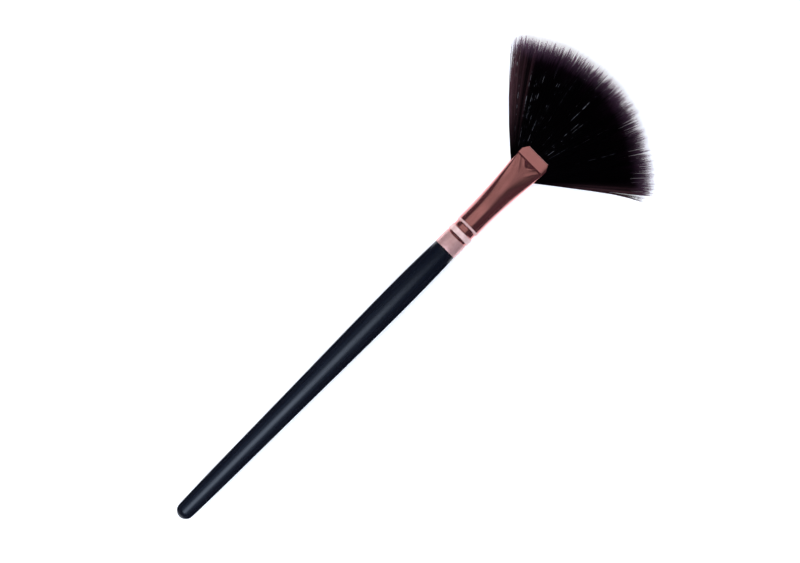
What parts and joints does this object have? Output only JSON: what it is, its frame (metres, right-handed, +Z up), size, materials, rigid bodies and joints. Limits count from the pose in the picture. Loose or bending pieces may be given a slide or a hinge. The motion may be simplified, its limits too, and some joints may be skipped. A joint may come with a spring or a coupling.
{
  "type": "fan makeup brush",
  "caption": "Makeup brush with a turned handle, a rolled metal ferrule pressed flat at its mouth, and a thin fan of soft bristles.",
  "frame": {"origin": "centre of the underside of the box that holds the brush, on the table it lies on", "axes": "+X along the handle towards the fan, +Y across the fan, +Z up from the table"},
  "size_m": [0.1808, 0.0638, 0.008],
  "materials": {
    "handle": "satin lacquer",
    "ferrule": "rose gold anodised, polished",
    "glue": "set epoxy",
    "bristles": "soft tapered filaments"
  },
  "bodies": {
    "root": {"handle": "handle", "ferrule": "ferrule", "glue_plug": "glue", "bristles": "bristles"}
  },
  "joints": []
}
